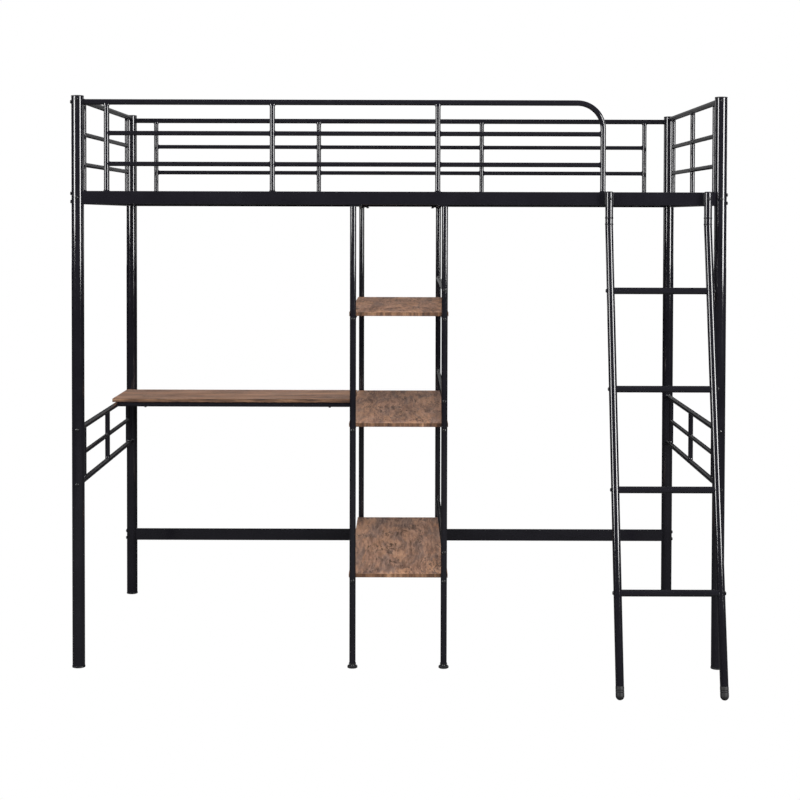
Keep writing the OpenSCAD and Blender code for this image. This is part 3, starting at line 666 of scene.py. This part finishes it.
low, high = boxes_of("post_top_caps")[0]
rim = (high.x - low.x) / 2
thick = 3.3 * MM
cap = turned("cap", [(0.35 * MM, rim * 0.30), (0.1 * MM, rim * 0.42), (0, rim * 0.62),
                     (0.25 * MM, rim * 0.80), (0.7 * MM, rim * 0.92), (1.4 * MM, rim * 0.985),
                     (2.1 * MM, rim), (thick - 0.3 * MM, rim), (thick, rim * 0.985),
                     (thick + 1 * MM, rim * 0.90)], 48)
finish("moulded_post_caps", at_corners(cap, "post_top_caps", Z), "post_top_caps", 40)

low, high = boxes_of("post_foot_caps")[0]
rim = (high.x - low.x) / 2
cap = turned("cap", [(0, rim * 0.90), (0.4 * MM, rim * 0.965), (1.2 * MM, rim), (2.4 * MM, rim),
                     (2.8 * MM, rim * 0.975), (3.2 * MM, rim * 0.975), (3.6 * MM, rim), (4.5 * MM, rim),
                     (5 * MM, rim * 0.98), (6 * MM, rim * 0.88)], 48)
finish("moulded_foot_caps", at_corners(cap, "post_foot_caps", -Z), "post_foot_caps", 40)

# %% [markdown]
# ## Rails and slats
# The mattress frame is rectangular tube. Drawn tube has round corners, and
# those corners are what catches the light along its edges. A cube at the right
# size gets them from a Bevel modifier. The rails run a little way into the
# posts, where nobody sees their ends. One slat is modelled and copied.

# %% Rectangular tubes
def bar(low, high, round_off, reach=0.0, name="bar"):
    """A rectangular tube between two corners with rounded edges, reach longer at each end."""
    size = high - low
    long_axis = max(range(3), key=lambda i: size[i])
    size[long_axis] += 2 * reach
    bpy.ops.object.select_all(action="DESELECT")
    bpy.ops.mesh.primitive_cube_add(size=1, location=(low + high) / 2, scale=size)
    piece = bpy.context.object
    piece.name = name
    bpy.ops.object.transform_apply(location=True, rotation=True, scale=True)
    bevel = piece.modifiers.new("corners", "BEVEL")
    bevel.width = round_off
    bevel.segments = 4
    bpy.ops.object.modifier_apply(modifier=bevel.name)
    return piece


rail_corner, into_post = 2.4 * MM, 5 * MM
for node in ("side_rail_front", "side_rail_rear", "end_rail_left", "end_rail_right", "rear_stretcher"):
    finish("rolled_" + node, [bar(*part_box(node), rail_corner, reach=into_post)], node, 60)

slat_boxes = boxes_of("slats")
first_low, first_high = slat_boxes[0]
slat = bar(first_low, first_high, 2 * MM)
slats = [slat] + [copy_of(slat, low - first_low) for low, high in slat_boxes[1:]]
finish("slat_row", slats, "slats", 60)

# %% [markdown]
# ## Welded tubes
# The guards and the end panels are thin tubes welded to each other. Where one
# meets the next, the weld leaves a small flare, clear to see against a white
# wall. Each tube is turned with that flare at its ends: where it meets a round
# tube the flare only spreads along that tube, and on a flat rail it goes all
# the way round.

# %% Tubes with weld flares
weld = 2.1 * MM
gap = 0.05 * MM


def weld_rings(radius, host):
    """Rings from a tube's end to its clean part; host is the radius of what it meets, "flat" or None."""
    if host is None:
        return [(0, radius - 0.3 * MM, radius - 0.3 * MM), (0.5 * MM, radius, radius)]
    if host == "flat":
        tuck, side = 0.0, radius + weld * 0.8
    else:
        tuck, side = host - math.sqrt((host + gap) ** 2 - radius ** 2), radius - 0.05 * MM
    steps = [(0.0, 1.0), (tuck + 0.4 * MM, 1.0), (tuck + 1.1 * MM, 0.62), (tuck + 2.2 * MM, 0.26),
             (tuck + 4.2 * MM, 0.06), (tuck + 6.0 * MM, 0.0)]
    return [(height, radius + weld * part, radius + (side - radius) * min(1, part))
            for height, part in steps]


def tube_between(low, high, across, hosts=(None, None), sides=28):
    """A tube that fills a solid's box. across points through the panel that it belongs to."""
    size = high - low
    axis = max(range(3), key=lambda i: size[i])
    direction = (X, Y, Z)[axis]
    length = size[axis]
    radius = size[(axis + 1) % 3] / 2
    start = weld_rings(radius, hosts[0])
    end = [(length - height, wide, deep) for height, wide, deep in reversed(weld_rings(radius, hosts[1]))]
    tube = turned("tube", start + end, sides)
    place = (low + high) / 2
    place[axis] = low[axis]
    return stand(tube, place, direction, across)


def tube_set(name, node, across, hosts):
    """All the tubes of a node; hosts gives what their lower and upper ends meet."""
    made = {}
    tubes = []
    for low, high in boxes_of(node):
        key = tuple(round(v, 4) for v in high - low)
        if key in made:
            pattern, pattern_low = made[key]
            tubes.append(copy_of(pattern, low - pattern_low))
        else:
            tubes.append(tube_between(low, high, across, hosts))
            made[key] = (tubes[-1], low)
    return finish(name, tubes, node, 50)


def thickness(node):
    """Radius of the tubes in a node whose box is thinnest across them."""
    low, high = boxes_of(node)[0]
    return sorted(high - low)[0] / 2


upright_radius = thickness("front_guard_uprights")
top_radius = thickness("rear_guard_top_tube")
print("upright radius", round(upright_radius, 4), "top tube radius", round(top_radius, 4))

# %% [markdown]
# Each node of the frame holds the tubes of one kind from one panel. All that
# differs is the way through the panel, Y at the front and rear and X at the
# ends, and what a tube's two ends are welded to.

# %% Guard and panel tubes
for side in ("front", "rear"):
    tube_set(side + "_welded_uprights", side + "_guard_uprights", Y, ("flat", top_radius))
    tube_set(side + "_welded_bars", side + "_guard_bars", Y, (upright_radius, upright_radius))
for side in ("left", "right"):
    tube_set(side + "_end_welded_uprights", "end_guard_" + side + "_uprights", X, ("flat", top_radius))
    tube_set(side + "_end_welded_bars", "end_guard_" + side + "_bars", X, (upright_radius, upright_radius))
    tube_set(side + "_lower_welded_uprights", "lower_end_" + side + "_uprights", X, (top_radius, top_radius))
    tube_set(side + "_lower_welded_bars", "lower_end_" + side + "_bars", X, (upright_radius, upright_radius))
    tube_set(side + "_end_top_tube", "end_guard_" + side + "_top_bar", X, (None, None))
    tube_set(side + "_lower_end_tubes", "lower_end_" + side + "_rails", X, (None, None))
tube_set("rear_top_tube", "rear_guard_top_tube", Y, (None, None))
tube_set("shelf_carrier_tubes", "shelf_support_bars", X, (None, None))
tube_set("shelf_side_tubes", "shelf_side_bars", X, (None, None))
tube_set("desk_carrier_tubes", "desk_bars", Y, (None, None))

# %% [markdown]
# ### The bent tube of the front guard
# This tube runs from the left post to the ladder gap, turns down in a quarter
# circle and is welded to the rail. The straight part is turned as before, the
# bend is a Spin of its end face about the bend's centre, and the last stretch
# is extruded down to the rail with the same flare.

# %% Bent guard tube
low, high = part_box("front_guard_top_tube")
radius = (high.y - low.y) / 2
bend_radius = 78 * MM
bend_start = high.x - radius - bend_radius
tube = turned("tube", [(0, radius - 0.3 * MM), (0.5 * MM, radius), (bend_start - low.x, radius)], 32)
stand(tube, (low.x, (low.y + high.y) / 2, high.z - radius), X, Y)
bpy.ops.object.mode_set(mode="EDIT")
bpy.ops.mesh.select_mode(type="FACE")
bpy.ops.mesh.select_all(action="DESELECT")
bpy.ops.object.mode_set(mode="OBJECT")
for face in tube.data.polygons:
    face.select = face.center.x > bend_start - 0.1 * MM and face.normal.x > 0.9
bpy.ops.object.mode_set(mode="EDIT")
bend_centre = (bend_start, (low.y + high.y) / 2, high.z - radius - bend_radius)
bpy.ops.mesh.spin(steps=22, angle=math.radians(90), center=bend_centre, axis=(0, -1, 0))
drop = bend_centre[2] - low.z
reached = 0.0
last_wide = radius
for height, wide, deep in reversed(weld_rings(radius, "flat")):
    bpy.ops.mesh.extrude_region_move(TRANSFORM_OT_translate={"value": (0, 0, -(drop - height - reached))})
    reached = drop - height
    grow = wide / last_wide
    bpy.ops.transform.resize(value=(grow, grow, 1))
    last_wide = wide
bpy.ops.mesh.select_all(action="SELECT")
bpy.ops.mesh.remove_doubles(threshold=0.00001)
bpy.ops.mesh.normals_make_consistent(inside=False)
bpy.ops.object.mode_set(mode="OBJECT")
finish("front_bent_top_tube", [tube], "front_guard_top_tube", 50)

# %% [markdown]
# ## Shelf posts
# Two thin posts stand at the front on levelling feet, and two at the rear hang
# between the rail and the stretcher. Each ends in a flat tab that is bolted on,
# so a post is a turned tube joined to one or two small plates.

# %% Shelf posts
def tab(low, high):
    """A small plate with softened edges."""
    return bar(low, high, 0.6 * MM, name="tab")


radius = 9.5 * MM
plate = 2.5 * MM
for place in ("front_left", "front_right", "rear_left", "rear_right"):
    node = "shelf_post_" + place
    low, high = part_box(node)
    side = 1 if low.x + high.x > 0 else -1
    outer = high.x if side > 0 else low.x
    centre = Vector((outer - side * radius, (low.y + high.y) / 2, 0))
    half = (high.y - low.y) / 2
    pieces = [tab(Vector((low.x, centre.y - half, high.z - plate)),
                  Vector((high.x, centre.y + half, high.z)))]
    foot_z = low.z
    foot_rings = [(0, radius - 0.4 * MM), (0.7 * MM, radius)]
    if "rear" in node:
        pieces.append(tab(Vector((low.x, centre.y - half, low.z)),
                          Vector((high.x, centre.y + half, low.z + plate))))
        foot_z = low.z + plate
        foot_rings = [(0, radius + 1.2 * MM), (0.7 * MM, radius + 0.6 * MM)]
    length = high.z - plate - foot_z
    post = turned("post", foot_rings + [
        (2.4 * MM, radius), (length - 2.4 * MM, radius), (length - 0.7 * MM, radius + 0.6 * MM),
        (length, radius + 1.2 * MM)], 32)
    pieces.append(stand(post, (centre.x, centre.y, foot_z)))
    finish(node.replace("shelf_post", "shelf_tube_post"), pieces, node, 50)

# %% [markdown]
# ## Boards
# A board is a slab with its corners just broken. Its two faces carry the film
# and its four sides the edge band, so the side faces are given the second
# material slot by the direction they look in.

# %% Boards
for node, film in films.items():
    low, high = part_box(node)
    board = bar(low, high, 0.9 * MM, name="board")
    band = desk_band if node == "desk_top" else shelf_band
    board.data.materials.append(film)
    board.data.materials.append(band)
    for face in board.data.polygons:
        face.material_index = 0 if abs(face.normal.z) > 0.6 else 1
    finish(node + "_board", [board], node, 50, dressed=True)

# %% [markdown]
# ## Ladder
# Two legs lean against the front rail. Each is one straight tube that is cut
# level under its hook, so the leg is turned, leaned and then cut with Bisect.
# The lean is read off the rungs, whose centres lie on the legs' line.

# %% Ladder legs and rungs
rungs = boxes_of("ladder_rungs")
hook_boxes = boxes_of("ladder_hooks")
cut_z = hook_boxes[0][0].z
spare = 0.02    # metres of leg that the cut takes off
centres = sorted(((low + high) / 2 for low, high in rungs), key=lambda c: c.z)
leg_line = Vector((0, centres[-1].y - centres[0].y, centres[-1].z - centres[0].z)).normalized()
for node in ("ladder_leg_left", "ladder_leg_right"):
    low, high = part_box(node)
    middle_x = (low.x + high.x) / 2
    radius = (high.x - low.x) / 2
    below = (low.z + 3 * MM - centres[0].z) / leg_line.z
    start = Vector((middle_x, centres[0].y, centres[0].z)) + leg_line * below
    length = (cut_z - start.z) / leg_line.z + spare
    leg = turned("leg", [(0, radius), (length * 0.3, radius), (length * 0.7, radius), (length, radius)], 36)
    stand(leg, start, leg_line, Y)
    bpy.ops.object.mode_set(mode="EDIT")
    bpy.ops.mesh.select_all(action="SELECT")
    bpy.ops.mesh.bisect(
        plane_co=(0, 0, cut_z - gap), plane_no=(0, 0, 1), clear_outer=True, use_fill=True)
    bpy.ops.object.mode_set(mode="OBJECT")
    finish(node.replace("leg", "leg_tube"), [leg], node, 50)

low, high = rungs[0]
rung = tube_between(low, high, Y, (None, None), 32)
more_rungs = [copy_of(rung, other - low) for other, _ in rungs[1:]]
finish("ladder_rung_tubes", [rung] + more_rungs, "ladder_rungs", 50)
print("the ladder leans", round(math.degrees(math.atan2(leg_line.y, leg_line.z)), 1), "degrees")

# %% [markdown]
# ### Hooks and boots
# The top of a leg is a closed, domed tube with two pressed collars at the
# joint, bolted flat against the rail. The bottom stands in a rubber boot: half
# a ball under a short sleeve with two grip grooves and a soft lip.

# %% Hooks and boots
low, high = hook_boxes[0]
tall = high.z - low.z
tube_r = 12 * MM
collar = 13 * MM
profile = [(0, tube_r - 0.6 * MM)]
for base in (0, 19 * MM):
    profile += [(base + 0.2 * MM, tube_r), (base + 0.9 * MM, collar - 0.1 * MM), (base + 2.0 * MM, collar),
                (base + 3.1 * MM, collar - 0.1 * MM), (base + 4.0 * MM, tube_r + 0.1 * MM),
                (base + 5.0 * MM, tube_r)]
profile += [(tall - 4 * MM, tube_r), (tall - 2.4 * MM, tube_r - 0.35 * MM),
            (tall - 1.0 * MM, tube_r - 1.6 * MM), (tall - 0.25 * MM, tube_r - 3.6 * MM),
            (tall, tube_r - 7 * MM)]
hook = stand(turned("hook", profile, 36), ((low.x + high.x) / 2, low.y + collar, low.z))
more_hooks = [copy_of(hook, other - low) for other, _ in hook_boxes[1:]]
finish("ladder_hook_tubes", [hook] + more_hooks, "ladder_hooks", 50)

foot_boxes = boxes_of("ladder_feet")
low, high = foot_boxes[0]
ball = (high.x - low.x) / 2
pole = 0.6 * MM    # the ball's lowest ring has this radius, because a ring can't have none
profile = [(-ball * math.cos(math.radians(a)), max(ball * math.sin(math.radians(a)), pole))
           for a in range(0, 91, 10)]
profile += [(9 * MM, ball), (9.5 * MM, ball - 0.5 * MM), (10.5 * MM, ball - 0.5 * MM), (11 * MM, ball),
            (15 * MM, ball), (15.5 * MM, ball - 0.5 * MM), (16.5 * MM, ball - 0.5 * MM), (17 * MM, ball),
            (25 * MM, ball), (25.7 * MM, ball - 0.15 * MM), (26 * MM, ball - 0.45 * MM)]
boot = turned("boot", profile, 36)
stand(boot, ((low.x + high.x) / 2, low.y + ball, low.z + ball), leg_line, Y)
more_boots = [copy_of(boot, other - low) for other, _ in foot_boxes[1:]]
finish("ladder_boots", [boot] + more_boots, "ladder_feet", 40)

# %% [markdown]
# ## Bolts and screws
# Eighty-one button-head bolts and wood screws hold the bed together. One is
# turned for each length: a low dome, a hexagonal socket cut by a Boolean, and
# the shank.

# %% Model a bolt
def bolt(head, height, shank, length, socket):
    """A button-head bolt: the head's underside at z = 0, dome down -Z, shank up +Z."""
    dome_rings = ((0.28, 1.0), (0.48, 0.975), (0.68, 0.90), (0.84, 0.77), (0.95, 0.60), (1, 0.44))
    r = head / 2
    piece = turned("bolt", [
        (length, shank / 2 - 0.7 * MM), (length - 0.8 * MM, shank / 2), (0, shank / 2), (0, r)]
        + [(-height * up, r * out) for up, out in dome_rings], 24)
    bpy.ops.object.select_all(action="DESELECT")
    bpy.ops.mesh.primitive_cylinder_add(
        vertices=6, radius=socket / 2, depth=2 * height, location=(0, 0, -height * 1.55))
    key = bpy.context.object    # it leaves a socket 0.45 of the head's height deep
    alone(piece)
    cut = piece.modifiers.new("socket", "BOOLEAN")
    cut.operation = "DIFFERENCE"
    cut.solver = "EXACT"
    cut.object = key
    bpy.ops.object.modifier_apply(modifier=cut.name)
    bpy.data.objects.remove(key)
    return piece


def head_of(points):
    """Top of the head, direction of the shank, total length and head diameter of a bolt in the frame."""
    low, high = box_of(points)
    size = high - low
    axis = max(range(3), key=lambda i: size[i])
    middle = (low + high) / 2
    first, second = [i for i in range(3) if i != axis]
    rim = size[first] * 0.48    # only the head's rim lies this far from the middle
    wide = [p for p in points if math.hypot(p[first] - middle[first], p[second] - middle[second]) > rim]
    head_mean = sum(p[axis] for p in wide) / len(wide)
    toward_low = head_mean < middle[axis]
    direction = (X, Y, Z)[axis] * (1 if toward_low else -1)
    place = middle.copy()
    place[axis] = low[axis] if toward_low else high[axis]
    return place, direction, size[axis], size[first]


# %% [markdown]
# Each bolt is copied to every place where the frame has one of its length,
# with its head where the frame's own head is. A head narrower than a
# centimetre is a wood screw's, which is lower and has a thinner shank.

# %% Put every bolt in place
narrow_head = 10 * MM
bolt_sizes = (3.2 * MM, 6 * MM, 4.6 * MM)     # height of the head, shank, socket
screw_sizes = (2.5 * MM, 4 * MM, 3.2 * MM)
for node in ("frame_bolts", "panel_bolts", "shelf_bolts", "ladder_bolts", "board_screws"):
    patterns = {}
    placed = []
    for points in solids_of(node):
        top, direction, total, head = head_of(points)
        height, shank, socket = screw_sizes if head < narrow_head else bolt_sizes
        across = X if abs(direction.x) < 0.5 else Y
        key = (round(total, 4), height)
        if key not in patterns:
            patterns[key] = bolt(head, height, shank, total - height, socket)
        placed.append(stand(copy_of(patterns[key]), top + direction * height, direction, across))
    for pattern in patterns.values():
        bpy.data.objects.remove(pattern)
    finish(node[:-1] + "_set", placed, node, 40)

# %% [markdown]
# ## Parts that stay as they come
# The levelling feet, the threaded inserts, the slat ledges and the board tabs
# already have their true shape, so they only get their finish.

# %% Finishes for the remaining parts
for name, part in nodes.items():
    part.data.materials.clear()
    part.data.materials.append(finishes.get(slot_of[name], films.get(name, films["desk_top"])))
print(len(finished), "pieces modelled,", len(nodes), "nodes dressed")

# %% Measure the visual box
low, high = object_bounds()
print("visual box", [round(v, 4) for v in low], [round(v, 4) for v in high])
